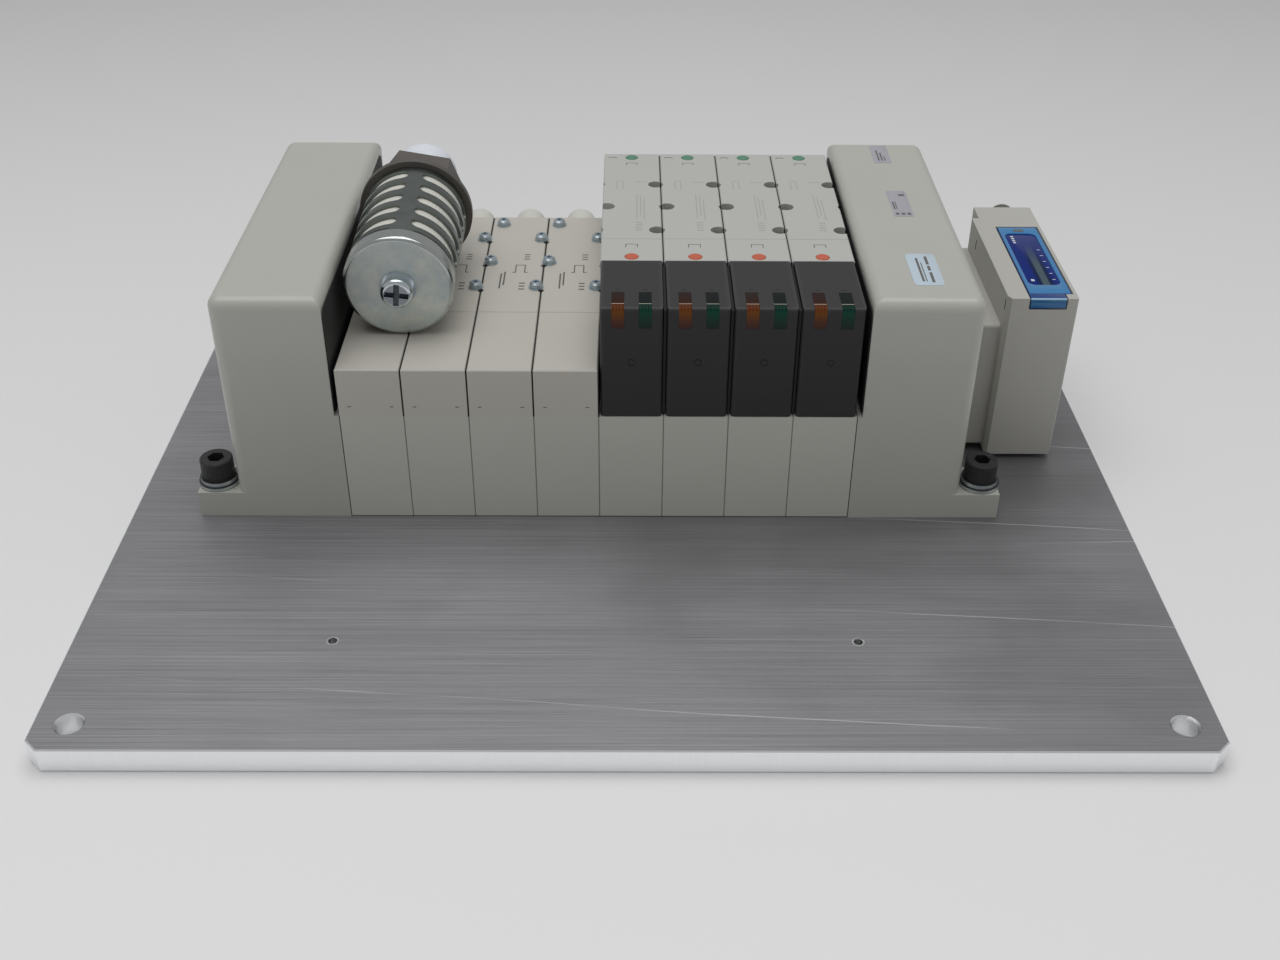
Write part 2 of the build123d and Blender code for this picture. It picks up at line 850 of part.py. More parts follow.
def save_valves():
    pieces = {
        "valve_body": valve_body(),
        "pilot_head": pilot_head(),
        "light_cover": light_cover(),
        "valve_spool": valve_spool(),
        "override_a": override_button(button_front_y),
        "override_b": override_button(button_rear_y),
    }
    screw = valve_screw()
    groups = {"valve_screws": [], "amber_lenses": [], "green_lenses": [], "pilot_coils": []}
    for index in range(valve_count):
        place = valve_station(index)
        for name, piece in pieces.items():
            save(f"{name}_{index + 1}", place * piece)
        groups["valve_screws"] += [place * Pos(x, y, 0) * screw for x, y in own_screws]
        groups["amber_lenses"].append(place * lens(-1))
        groups["green_lenses"].append(place * lens(1))
        groups["pilot_coils"] += [place * pilot_coil(side) for side in (-1, 1)]
    for name, solids in groups.items():
        save_group(name, solids)


def save_gaskets():
    gasket = gasket_pocket(0)
    save_group("station_gaskets", [station_place(index) * gasket for index in range(station_count)])


def save_silencer():
    place = silencer_place()
    save("silencer_cap", place * silencer_cap())
    save("silencer_shell", place * silencer_shell())
    save("silencer_element", place * silencer_element())
    save("silencer_body", place * silencer_body())
    save("silencer_screw", place * silencer_screw())


def save_bus_module():
    save("bus_adapter", bus_adapter())
    place = bus_place()
    save("bus_housing", place * bus_housing())
    save("display_cover", place * display_cover())
    save("switch_board", place * switch_board())
    connector = bus_connector()
    save_group("bus_connectors", [place * spot * connector for spot in connector_places()])


os.makedirs("parts", exist_ok=True)
save_base()
save_mounting_screws()
save_blanks()
save_valves()
save_gaskets()
save_silencer()
save_bus_module()
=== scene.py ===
"""Looks of the pneumatic valve island: finishes, printed marks, labels and fine fittings."""

import json
from math import cos, pi, radians, sin

import bmesh
import bpy
from mathutils import Matrix, Vector


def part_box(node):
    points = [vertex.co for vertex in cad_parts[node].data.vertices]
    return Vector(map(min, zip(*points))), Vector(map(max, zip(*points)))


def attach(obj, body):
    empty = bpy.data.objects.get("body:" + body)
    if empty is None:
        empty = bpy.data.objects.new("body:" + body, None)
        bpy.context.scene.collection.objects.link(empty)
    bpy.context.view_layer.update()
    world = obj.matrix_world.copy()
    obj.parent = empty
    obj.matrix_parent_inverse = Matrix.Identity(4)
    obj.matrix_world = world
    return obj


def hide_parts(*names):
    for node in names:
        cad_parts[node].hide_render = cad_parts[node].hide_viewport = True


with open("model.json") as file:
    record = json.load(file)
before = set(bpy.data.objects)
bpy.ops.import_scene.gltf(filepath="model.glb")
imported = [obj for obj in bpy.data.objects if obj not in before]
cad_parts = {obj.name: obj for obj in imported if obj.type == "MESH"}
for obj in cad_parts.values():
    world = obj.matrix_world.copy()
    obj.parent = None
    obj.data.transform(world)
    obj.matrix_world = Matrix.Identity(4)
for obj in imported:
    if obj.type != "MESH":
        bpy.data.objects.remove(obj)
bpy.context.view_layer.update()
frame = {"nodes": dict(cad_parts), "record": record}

MM = 0.001
STATIONS = 8
BLANKS = 4  # the stations from the left that carry blanking plates; the rest carry valves

# Sizes in millimetres that the nodes' boxes don't give
SCREW_ROWS = (26.0, 49.3, 72.6)  # where the valve screws stand along Y
BORE_DEPTH = 12.0
BORE_HALF = 2.6
SEAL_AND_SHADE_HALF = 0.2
COVER_SEAL_AND_SHADE_HALF = 0.55
BLOCK_RELIEF = 1.8  # from the row's end to an end block's sunk inner face
LINING = 0.6
TAPPED_HALF = 94.5  # from the row's centre to each small tapped hole
TAPPED_INSET = 55.0  # from the plate's front edge to them
COUNTERSINK = 2.3
HEAD_RADIUS = 6.5
LENS_OFFSET = 5.1  # from a station's centre to each light window
LID_THICK = 1.6
LID_GAP = 0.3
LID_LINE = 0.45
HINGE_STUB = 1.0
TAB_REACH = 4.6
TAB_SHORT = 3.0
SILENCER_FRONT = (-89.0, -17.0, 99.05)
SILENCER_TILT = 4.0
THREAD_RADIUS = 13.2
TAPE_START = 78.2
TAPE_END = 97.2
TAPE_CRESTS = 7
FITTING_RADIUS = 7.1
COLLAR_PROFILE = (
    (4.35, -1.0), (4.35, 1.3), (4.6, 1.5), (5.9, 1.5),
    (6.1, 1.3), (6.1, 0.5), (5.2, 0.4), (5.2, -1.0),
)

# A printed mark's height above and depth below the face that it lies on
MARK_RISE = 0.03
MARK_SINK = 0.02
LABEL_RISE = 0.12

# Camera and lamp, in metres and degrees
LENS_LENGTH = 41.06
CAMERA_PLACE = (0.0001, -0.5212, 0.3538)
CAMERA_TURN = -0.478
CAMERA_DOWN = 34.279
CAMERA_ROLL = 0.438
LAMP_PLACE = (-0.1, 0.1, 1.6)
LAMP_SIZE = (1.8, 1.2)
LAMP_POWER = 14.0
WORLD_STRENGTH = 0.39


def corners(node):
    """A CAD node's lowest and highest corners in millimetres."""
    low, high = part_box(node)
    return low / MM, high / MM


plate_low, plate_high = corners("mounting_plate")
blank_low, blank_high = corners("blank_plate_1")
valve_low, valve_high = corners("valve_body_1")
head_low = corners("pilot_head_1")[0]
cover_low, cover_high = corners("light_cover_1")
lens_low, lens_high = corners("amber_lenses")
block_high = corners("end_block_right")[1]
bus_low = corners("bus_housing")[0]
row_left = corners("manifold_block_1")[0].x
row_right = corners("manifold_block_8")[1].x
row_centre = (row_left + row_right) / 2
pitch = (row_right - row_left) / STATIONS
bore_floor = valve_high.z - BORE_DEPTH
lens_reach = lens_high.y - cover_low.y
lens_drop = cover_high.z - lens_low.z


def station_x(index):
    """The middle of a station, counted from 0 at the left."""
    return row_left + (index + 0.5) * pitch


# Shader maths


class Field:
    """A shader socket's value, which takes part in plain arithmetic."""

    def __init__(self, tree, socket):
        self.tree = tree
        self.socket = socket

    def math(self, operation, *values):
        """The result of one Math node."""
        node = self.tree.nodes.new("ShaderNodeMath")
        node.operation = operation
        for entry, value in zip(node.inputs, values):
            plug(self.tree, entry, value)
        return Field(self.tree, node.outputs[0])

    def __add__(self, other):
        return self.math("ADD", self, other)

    def __sub__(self, other):
        return self.math("SUBTRACT", self, other)

    def __rsub__(self, other):
        return self.math("SUBTRACT", other, self)

    def __mul__(self, other):
        return self.math("MULTIPLY", self, other)

    def __truediv__(self, other):
        return self.math("DIVIDE", self, other)

    def __pow__(self, other):
        return self.math("POWER", self, other)

    def __gt__(self, other):
        return self.math("GREATER_THAN", self, other)

    def __lt__(self, other):
        return self.math("LESS_THAN", self, other)

    def __abs__(self):
        return self.math("ABSOLUTE", self)

    __radd__ = __add__
    __rmul__ = __mul__

    def wave(self, pitch):
        """A sine from 0 to 1 that repeats over pitch."""
        return self.math("SINE", self * (2 * pi / pitch)) * 0.5 + 0.5

    def fraction(self):
        """What is left over a whole number."""
        return self.math("FRACT", self)

    def ramp(self, low, high):
        """0 below low, 1 above high and even between."""
        node = self.tree.nodes.new("ShaderNodeMapRange")
        node.clamp = True
        for entry, value in zip(node.inputs, (self, low, high, 0.0, 1.0)):
            plug(self.tree, entry, value)
        return Field(self.tree, node.outputs[0])


def plug(tree, entry, value):
    """Sets a socket to a plain value, or links a field to it."""
    if isinstance(value, Field):
        tree.links.new(value.socket, entry)
    else:
        entry.default_value = value


def named(sockets, name):
    """A socket by its identifier or its name."""
    for socket in sockets:
        if socket.identifier == name:
            return socket
    return sockets[name]


class Finish:
    """A material in the making; x, y and z are the place on the object in metres."""

    def __init__(self, name):
        self.material = bpy.data.materials.new(name)
        self.material.use_nodes = True
        self.tree = self.material.node_tree
        self.shader = self.tree.nodes["Principled BSDF"]
        self.colour = None
        self.place = self.node("ShaderNodeTexCoord", out="Object")
        self.x, self.y, self.z = [
            self.node("ShaderNodeSeparateXYZ", {"Vector": self.place}, out=axis)
            for axis in "XYZ"
        ]

    def node(self, kind, inputs=None, out=0, stops=(), **settings):
        """Any node: its settings and stops first, then its sockets, and the output asked for."""
        made = self.tree.nodes.new(kind)
        for key, value in settings.items():
            setattr(made, key, value)
        for index, (position, colour) in enumerate(stops):
            points = made.color_ramp.elements
            point = points[index] if index < len(points) else points.new(position)
            point.position, point.color = position, colour
        for key, value in (inputs or {}).items():
            plug(self.tree, named(made.inputs, key), value)
        socket = made.outputs[out] if isinstance(out, int) else named(made.outputs, out)
        return Field(self.tree, socket)

    def set(self, **values):
        """Sets the shader's own sockets, named with underscores for spaces."""
        for key, value in values.items():
            plug(self.tree, self.shader.inputs[key.replace("_", " ")], value)
        return self

    def noise(self, scale, stretch=(1, 1, 1), detail=2.0, roughness=0.5):
        """Soft noise, with scale features to a metre times the stretch of each axis."""
        spot = self.node("ShaderNodeMapping", {"Vector": self.place, "Scale": stretch})
        entries = {"Vector": spot, "Scale": scale, "Detail": detail, "Roughness": roughness}
        return self.node("ShaderNodeTexNoise", entries)

    def cells(self, scale):
        """Grains, as the distance from their middles."""
        return self.node("ShaderNodeTexVoronoi", {"Vector": self.place, "Scale": scale})

    def mix(self, factor, first, second):
        """The first colour where factor is 0, the second where it is 1."""
        entries = {"Factor_Float": factor, "A_Color": first, "B_Color": second}
        return self.node("ShaderNodeMix", entries, out="Result_Color", data_type="RGBA")

    def tint(self, colour, amount):
        """A colour made darker and lighter by a field around 0.5."""
        dark = shade(colour, 1 - amount)
        light = shade(colour, 1 + amount)
        return lambda field: self.mix(field, dark, light)

    def bump(self, height, strength, distance):
        """Raises the surface by a field, over a distance in metres."""
        entries = {"Height": height, "Strength": strength, "Distance": distance}
        return self.set(Normal=self.node("ShaderNodeBump", entries))


def rgb(red, green, blue):
    """A display colour of 0 to 255 as linear values."""
    def linear(value):
        value /= 255
        return value / 12.92 if value <= 0.04045 else ((value + 0.055) / 1.055) ** 2.4
    return (linear(red), linear(green), linear(blue), 1.0)


def shade(colour, amount):
    """A colour with its light scaled."""
    return tuple(channel * amount for channel in colour[:3]) + (1.0,)


# Finishes


def moulded(name, colour, roughness=0.45, grain=0.04, speck=900.0, cloudiness=0.035):
    """Moulded plastic or powder coat: a fine grain and a faint cloudiness."""
    finish = Finish(name)
    cloud = finish.noise(28.0, detail=3.0)
    fine = finish.noise(speck, detail=2.0)
    finish.colour = finish.tint(colour, cloudiness)(cloud * 0.7 + fine * 0.3)
    finish.set(Base_Color=finish.colour)
    finish.set(Roughness=fine * 0.12 + (roughness - 0.06))
    finish.bump(fine, grain, 0.0004)
    return finish


SEAM_DARK = rgb(26, 26, 25)
SEAM_COVER = 0.85


def seamed(finish, half_width, strength, dark=0.0):
    """Adds thin dark lines where neighbouring stations meet, and where dark is 1."""
    stations = (finish.x - row_left * MM) / (pitch * MM)
    off_seam = abs((stations + 0.5).fraction() - 0.5) * (pitch * MM)
    lines = ((off_seam < half_width * MM) * strength + dark).ramp(0.0, 1.0)
    return finish.set(Base_Color=finish.mix(lines * SEAM_COVER, finish.colour, SEAM_DARK))


def glossed(finish):
    """Adds a thin glossy skin, which catches the light along rounded edges."""
    return finish.set(Coat_Weight=0.4, Coat_Roughness=0.12)


def base_beige():
    """Moulded blocks, dark where they meet each other, the end blocks and the plate."""
    finish = moulded("base_beige", rgb(192, 193, 184))
    joint = 0.4
    ends = abs(finish.x - row_centre * MM) > ((row_right - row_left) / 2 - joint) * MM
    foot = finish.z < ((plate_high.z + joint) * MM)
    return seamed(finish, 0.16, 0.65, ends + foot)


def scratches(finish, slope, waver, to_metre, half_width, patches, shown):
    """Long fine scratches, nearly along X, each broken into stretches by soft patches."""
    drift = finish.y + finish.x * slope + finish.noise(waver[0]) * waver[1]
    lines = abs((drift * to_metre).fraction() - 0.5) < half_width * MM * to_metre
    return lines * finish.noise(patches, stretch=(1.0, 3.0, 1.0)).ramp(*shown)


def brushed_aluminium():
    """Long fine brushing, smudges and a few hairline scratches; bright edges; a painted
    reflection darkens it to the right.
    """
    finish = Finish("brushed_aluminium")
    fine = finish.noise(10.0, stretch=(1.0, 150.0, 1.0), detail=8.0, roughness=0.8)
    threads = finish.noise(5.0, stretch=(1.0, 380.0, 1.0), detail=4.0, roughness=0.8)
    broad = finish.noise(4.0, stretch=(1.0, 16.0, 1.0), detail=3.0)
    haze = finish.noise(5.0, detail=2.0)
    smudge = finish.noise(9.0, detail=3.0).ramp(0.5, 0.72)
    falling = scratches(finish, 0.08, (3.0, 0.012), 17.0, 0.247, 9.0, (0.46, 0.58))
    rising = scratches(finish, -0.035, (2.0, 0.02), 9.0, 0.244, 8.0, (0.52, 0.6))
    stray = falling.math("MAXIMUM", falling, rising)
    across = abs(finish.x - row_centre * MM) - TAPPED_HALF * MM
    along = finish.y - (plate_low.y + TAPPED_INSET) * MM
    countersink = (across * across + along * along) < (COUNTERSINK * MM) ** 2
    top = (finish.z > ((plate_high.z - 0.1) * MM)) * (1 - countersink)
    streaks = fine * 0.45 + threads * 0.3 + broad * 0.1 + haze * 0.15
    flat = finish.mix(streaks.ramp(0.34, 0.66), rgb(108, 108, 112), rgb(180, 180, 184))
    # Painted reflection: the face grows darker towards the right, mixed in with the smudges.
    painted_reflection_falloff = (finish.x / ((plate_high.x - plate_low.x) * MM) + 0.5).ramp(0.2, 1.1)
    smudge_and_painted_reflection = finish.mix(smudge * 0.34 + painted_reflection_falloff * 0.34, flat, rgb(96, 95, 95))
    face = finish.mix(stray * 0.45, smudge_and_painted_reflection, rgb(214, 214, 216))
    milled = finish.noise(30.0, stretch=(60.0, 60.0, 1.0), detail=2.0)
    edge = finish.tint(rgb(246, 247, 248), 0.05)(milled)
    finish.set(Base_Color=finish.mix(top, edge, face), Metallic=1 - top * 0.5)
    finish.set(Roughness=top * (fine * 0.16 + 0.1) + 0.24)
    return finish.bump(fine + threads, 0.2, 0.0003)


def plated(name, colour, roughness=0.28, mottle=0.12, metal=1.0):
    """Zinc plate: a cloudy bright metal."""
    finish = Finish(name)
    cloud = finish.noise(160.0, detail=4.0, roughness=0.65)
    fine = finish.noise(1400.0, detail=2.0)
    finish.set(Base_Color=finish.tint(colour, mottle)(cloud * 0.8 + fine * 0.2))
    finish.set(Metallic=metal, Roughness=cloud * 0.2 + (roughness - 0.1))
    return finish.bump(fine, 0.05, 0.0002)


def smoked():
    """Smoked cover: near black with a faint haze of fingerprints and a painted highlight on its
    rounded corners.
    """
    finish = Finish("smoked_cover")
    haze = finish.noise(60.0, detail=3.0)
    fine = finish.noise(700.0, detail=2.0)
    across = (finish.x - row_left * MM) / (pitch * MM)
    off_centre = abs(across.fraction() - 0.5) * (pitch * MM)
    # Painted highlight: each cover is paler along its rounded side corners.
    corner = off_centre.ramp(10.2 * MM, 11.5 * MM)
    dark = finish.tint(rgb(43, 42, 44), 0.1)(haze)
    finish.set(Base_Color=finish.mix(corner * 0.5, dark, rgb(66, 64, 66)))
    finish.set(Roughness=haze * 0.14 + 0.42, Specular_IOR_Level=0.4)
    return finish.bump(fine, 0.02, 0.0002)


def lens_finish(name, stops, line):
    """A light window over the front bend: ribs on its top, a thin painted highlight line and a
    faded foot.
    """
    finish = Finish(name)
    front, top = cover_low.y * MM, cover_high.z * MM
    along = (finish.y - front) - (top - finish.z)
    spread = along.ramp(-lens_drop * MM, lens_reach * MM)
    body = finish.node("ShaderNodeValToRGB", {"Fac": spread}, out="Color", stops=stops)
    ribs = finish.y.wave(1.7 * MM).ramp(0.45, 0.7) * along.ramp(4.5 * MM, 5.0 * MM)
    streaks = finish.x.wave(1.2 * MM) * (1 - abs(along).ramp(1.0 * MM, 5.0 * MM))
    ribbed = finish.mix(ribs * 0.7, body, rgb(30, 28, 28))
    streaked = finish.mix(streaks * 0.3, ribbed, line)
    # Painted highlight: a thin near-white line across the window near the bend.
    painted_highlight_line = abs(along - 3.9 * MM) < 0.11 * MM
    glow = finish.noise(500.0, detail=2.0)
    finish.set(Base_Color=finish.mix(painted_highlight_line * 0.85, streaked, rgb(238, 228, 214)))
    return finish.set(Roughness=glow * 0.08 + 0.3, Specular_IOR_Level=0.06)


def silencer_fields(finish):
    """Distance from the silencer's axis and distance along it from the cap, in metres."""
    x, y, z = [value * MM for value in SILENCER_FRONT]
    rise, run = sin(radians(SILENCER_TILT)), cos(radians(SILENCER_TILT))
    up = (finish.z - z) * run - (finish.y - y) * rise
    along = (finish.y - y) * run + (finish.z - z) * rise
    across = finish.x - x
    return (across * across + up * up) ** 0.5, along


def cap_zinc():
    """Zinc plated cap: a mottled matt disc inside a polished rolled rim."""
    finish = Finish("cap_zinc")
    radius, _ = silencer_fields(finish)
    rim = radius.ramp(19.2 * MM, 20.2 * MM)
    cloud = finish.noise(110.0, detail=5.0, roughness=0.7)
    scuff = finish.noise(500.0, detail=3.0)
    face = finish.mix(cloud.ramp(0.3, 0.7), rgb(172, 186, 190), rgb(208, 209, 200))
    finish.set(Base_Color=finish.mix(rim * 0.7, face, rgb(176, 180, 180)))
    finish.set(Metallic=rim * 0.4 + 0.6, Roughness=scuff * 0.12 + 0.34 - rim * 0.2)
    return finish.bump(cloud + scuff * 0.4, 0.12, 0.0003)


def bright_zinc():
    """Bright zinc screw, with painted shade inside its cross recess."""
    finish = Finish("bright_zinc")
    radius, along = silencer_fields(finish)
    # Painted shade: the inside of the cross recess is coloured dark.
    recess = (radius < 4.7 * MM) * (along > -5.7 * MM)
    cloud = finish.noise(300.0, detail=4.0)
    shine = finish.tint(rgb(206, 214, 218), 0.1)(cloud)
    finish.set(Base_Color=finish.mix(recess * 0.85, shine, rgb(84, 90, 93)))
    finish.set(Metallic=1.0, Roughness=cloud * 0.1 + 0.1)
    return finish


def porous():
    """Sintered absorber: pale granules."""
    finish = Finish("porous_element")
    grains = finish.cells(1500.0)
    wide = finish.noise(90.0, detail=3.0)
    finish.set(Base_Color=finish.tint(rgb(214, 214, 206), 0.12)(grains * 0.6 + wide * 0.4))
    finish.set(Roughness=wide * 0.1 + 0.85)
    return finish.bump(grains, 0.5, 0.0005)


def cast():
    """Grey cast metal with fine pits."""
    finish = Finish("cast_zinc")
    pits = finish.noise(600.0, detail=4.0, roughness=0.7)
    cloud = finish.noise(60.0, detail=3.0)
    finish.set(Base_Color=finish.tint(rgb(106, 102, 98), 0.2)(cloud * 0.6 + pits * 0.4))
    finish.set(Metallic=0.7, Roughness=pits * 0.2 + 0.42)
    return finish.bump(pits, 0.35, 0.0004)


def black_oxide():
    """Blackened steel with a knurl round each of the four heads."""
    finish = Finish("black_oxide")
    low, high = corners("mounting_screws")
    centre = (low + high) / 2 * MM
    reach = (high - low) / 2 * MM
    head = HEAD_RADIUS * MM
    across = abs(finish.x - centre.x) - (reach.x - head)
    along = abs(finish.y - centre.y) - (reach.y - head)
    angle = along.math("ARCTAN2", along, across)
    rim = (across * across + along * along) > (head - 0.3 * MM) ** 2
    turns = angle * 40.0
    knurl = turns.math("SINE", turns) * rim
    cloud = finish.noise(400.0, detail=4.0)
    finish.set(Base_Color=finish.tint(rgb(54, 54, 55), 0.3)(cloud))
    finish.set(Metallic=0.4, Roughness=cloud * 0.2 + 0.3)
    return finish.bump(cloud * 0.3 + knurl, 0.5, 0.0003)


def sealing_tape():
    """White tape wound on the thread, with soft creases along its turns."""
    finish = Finish("sealing_tape")
    crease = finish.noise(220.0, stretch=(1.0, 6.0, 1.0), detail=3.0)
    finish.set(Base_Color=finish.tint(rgb(226, 230, 238), 0.12)(crease))
    finish.set(Roughness=crease * 0.15 + 0.35)
    return finish.bump(crease, 0.6, 0.0005)


def clear_blue():
    """Deep blue window plastic, seen into: a grey strip in a dark trough along its middle."""
    finish = Finish("window_blue")
    low, high = corners("display_cover")
    middle = ((low.x + high.x) / 2 + 0.6) * MM
    off_middle = abs(finish.x - middle)
    trough = 1 - off_middle.ramp(2.6 * MM, 3.6 * MM)
    strip = 1 - off_middle.ramp(1.1 * MM, 1.8 * MM)
    forward = 1 - finish.y.ramp((low.y + 30) * MM, (low.y + 52) * MM)
    fine = finish.noise(120.0, detail=3.0)
    sides = finish.tint(rgb(6, 40, 124), 0.2)(fine)
    lined = finish.mix(trough * forward * 0.8, sides, rgb(14, 30, 62))
    finish.set(Base_Color=finish.mix(strip * forward * 0.8, lined, rgb(88, 106, 112)))
    return finish.set(Alpha=0.9, Roughness=fine * 0.05 + 0.1, Specular_IOR_Level=0.2)


def washer_zinc():
    """Zinc washers, dark where one ring lies on the next."""
    finish = Finish("zinc_washer")
    cloud = finish.noise(260.0, detail=4.0)
    shine = finish.tint(rgb(196, 202, 204), 0.12)(cloud)
    flat_low, flat_high = corners("flat_washers")
    spring_high = corners("spring_washers")[1]
    joint = 0
    for level, half in ((flat_low.z, 0.22), (flat_high.z, 0.22), (spring_high.z, 0.2)):
        joint = joint + (abs(finish.z - level * MM) < half * MM)
    finish.set(Base_Color=finish.mix(joint.ramp(0.0, 1.0) * 0.85, shine, rgb(30, 32, 33)))
    return finish.set(Metallic=0.8, Roughness=cloud * 0.15 + 0.22)


def lid_blue():
    """Light blue frame with a dark outline; a deep blue tab with a painted highlight line along
    its fold.
    """
    finish = Finish("blue_lid")
    low, high = corners("display_cover")
    half = (high.x - low.x) / 2 - HINGE_STUB - LID_GAP
    fine = finish.noise(600.0, detail=2.0)
    body = finish.tint(rgb(54, 126, 182), 0.06)(fine)
    sides = abs(finish.x - (low.x + high.x) / 2 * MM) > ((half - LID_LINE) * MM)
    rear = finish.y > ((high.y - LID_GAP - LID_LINE) * MM)
    edged = finish.mix((sides + rear).ramp(0.0, 1.0) * 0.85, body, rgb(16, 38, 92))
    tab = finish.y < ((low.y + TAB_REACH + 0.3) * MM)
    face = finish.y < ((low.y + 0.05) * MM)
    deep = finish.mix(tab, edged, rgb(22, 62, 128))
    lower = finish.z < ((low.z + 0.6) * MM)
    fall = finish.mix(lower, rgb(40, 106, 158), rgb(18, 54, 104))
    front = finish.mix(face, deep, fall)
    # Painted highlight along the top of the tab's fold.
    line = (finish.y < ((low.y + 0.55) * MM)) * (finish.z > ((high.z - 0.5) * MM))
    finish.set(Base_Color=finish.mix(line, front, rgb(170, 210, 236)))
    return finish.set(Roughness=fine * 0.06 + 0.22)


# Colours from a light window's foot, over the bend, to its rear end
AMBER_STOPS = (
    (0.0, rgb(70, 50, 46)), (0.12, rgb(86, 56, 46)), (0.3, rgb(110, 68, 34)),
    (0.39, rgb(72, 32, 12)), (0.5, rgb(80, 36, 14)), (0.66, rgb(58, 28, 14)),
    (1.0, rgb(50, 38, 34)),
)
GREEN_STOPS = (
    (0.0, rgb(40, 50, 47)), (0.12, rgb(38, 58, 52)), (0.3, rgb(28, 70, 58)),
    (0.39, rgb(6, 32, 26)), (0.5, rgb(8, 36, 28)), (0.66, rgb(14, 28, 25)),
    (1.0, rgb(26, 34, 33)),
)

# One finish for each material slot
finishes = {
    "plate_aluminium": brushed_aluminium(),
    "base_beige": base_beige(),
    "end_block_beige": glossed(moulded("end_block_beige", rgb(180, 181, 173), 0.42)),
    "blank_beige": seamed(moulded("blank_beige", rgb(192, 189, 180), 0.5), 0.34, 1.0),
    "valve_white": moulded("valve_white", rgb(184, 185, 180), 0.5),
    "smoked_cover": smoked(),
    "amber_lens": lens_finish("amber_lens", AMBER_STOPS, rgb(150, 88, 34)),
    "green_lens": lens_finish("green_lens", GREEN_STOPS, rgb(26, 92, 72)),
    "orange_button": moulded("orange_button", rgb(196, 94, 66), 0.4),
    "green_button": moulded("green_button", rgb(84, 134, 110), 0.4),
    "turned_steel": plated("turned_steel", rgb(170, 170, 172)),
    "coil_black": moulded("coil_black", rgb(40, 40, 42)),
    "gasket_rubber": moulded("gasket_rubber", rgb(30, 30, 31), 0.7),
    "zinc_screw": plated("zinc_screw", rgb(178, 190, 198), 0.3, metal=0.65),
    "zinc_washer": washer_zinc(),
    "black_screw": black_oxide(),
    "fitting_beige": moulded("fitting_beige", rgb(208, 208, 202), 0.45),
    "zinc_plate": plated("zinc_plate", rgb(172, 180, 180), 0.38, metal=0.75),
    "porous_element": porous(),
    "cast_zinc": cast(),
    "bus_beige": moulded("bus_beige", rgb(182, 181, 175), 0.5),
    "blue_lid": lid_blue(),
    "board_black": moulded("board_black", rgb(44, 50, 58)),
    "connector_metal": plated("connector_metal", rgb(130, 128, 122), 0.35),
}

# Finishes of pieces that have a look of their own
window_blue = clear_blue()
thread_tape = sealing_tape()
label_grey = moulded("label_grey", rgb(166, 165, 174), 0.35, speck=400.0)
label_silver = moulded("label_silver", rgb(190, 206, 218), 0.3, speck=400.0)
print_dark = moulded("print_dark", rgb(98, 98, 95), 0.6)
print_faint = moulded("print_faint", rgb(167, 168, 163), 0.6)
print_white = moulded("print_white", rgb(208, 214, 224), 0.5)
release_brown = moulded("release_brown", rgb(92, 104, 108), 0.4)

# Nodes that differ from the rest of their slot
own_finishes = {
    "silencer_cap": cap_zinc(),
    "silencer_screw": bright_zinc(),
    "silencer_shell": plated("shell_zinc", rgb(118, 124, 121), 0.3, mottle=0.18),
}

for subpart in frame["record"]["subparts"]:
    mesh = frame["nodes"][subpart["node"]].data
    finish = own_finishes.get(subpart["node"], finishes[subpart["material_slot"]])
    mesh.materials.clear()
    mesh.materials.append(finish.material)


# Shapes, in millimetres until a piece is finished


def joined(parts):
    """One mesh of several finished ones."""
    whole = bmesh.new()
    for part in parts:
        mesh = bpy.data.meshes.new("part")
        part.to_mesh(mesh)
        part.free()
        whole.from_mesh(mesh)
        bpy.data.meshes.remove(mesh)
    return whole


def outline(low, high, z, radius, segments=5):
    """A flat rectangle with round corners."""
    shape = bmesh.new()
    bmesh.ops.create_grid(shape, x_segments=1, y_segments=1, size=0.5)
    spread = (high[0] - low[0], high[1] - low[1], 1.0)
    middle = ((low[0] + high[0]) / 2, (low[1] + high[1]) / 2, z)
    bmesh.ops.scale(shape, vec=spread, verts=shape.verts[:])
    bmesh.ops.translate(shape, vec=middle, verts=shape.verts[:])
    bmesh.ops.bevel(shape, geom=shape.verts[:], offset=radius, segments=segments,
                    profile=0.5, affect="VERTICES", material=-1)
    return shape


def thickened(shape, drop):
    """A flat shape given thickness downwards."""
    made = bmesh.ops.extrude_face_region(shape, geom=shape.faces[:])
    lower = [part for part in made["geom"] if isinstance(part, bmesh.types.BMVert)]
    bmesh.ops.translate(shape, vec=(0, 0, -drop), verts=lower)
    bmesh.ops.recalc_face_normals(shape, faces=shape.faces[:])
    return shape


def eased(shape, offset, segments=2):
    """Rounds the sharp edges of a shape."""
    sharp = [edge for edge in shape.edges if edge.calc_face_angle(0) > radians(60)]
    bmesh.ops.bevel(shape, geom=sharp, offset=offset, segments=segments, profile=0.5,
                    affect="EDGES", material=-1)
    return shape


def slab(low, high, radius=0.1, rim=0.0, segments=3):
    """A block with round upright corners and, if asked, eased rims."""
    shape = thickened(outline(low, high, high[2], radius, segments), high[2] - low[2])
    return eased(shape, rim) if rim else shape


def band(outer, inner):
    """The flat band between two outlines of as many points."""
    shape = joined([outer, inner])
    bmesh.ops.delete(shape, geom=shape.faces[:], context="FACES_ONLY")
    bmesh.ops.bridge_loops(shape, edges=shape.edges[:])
    return shape


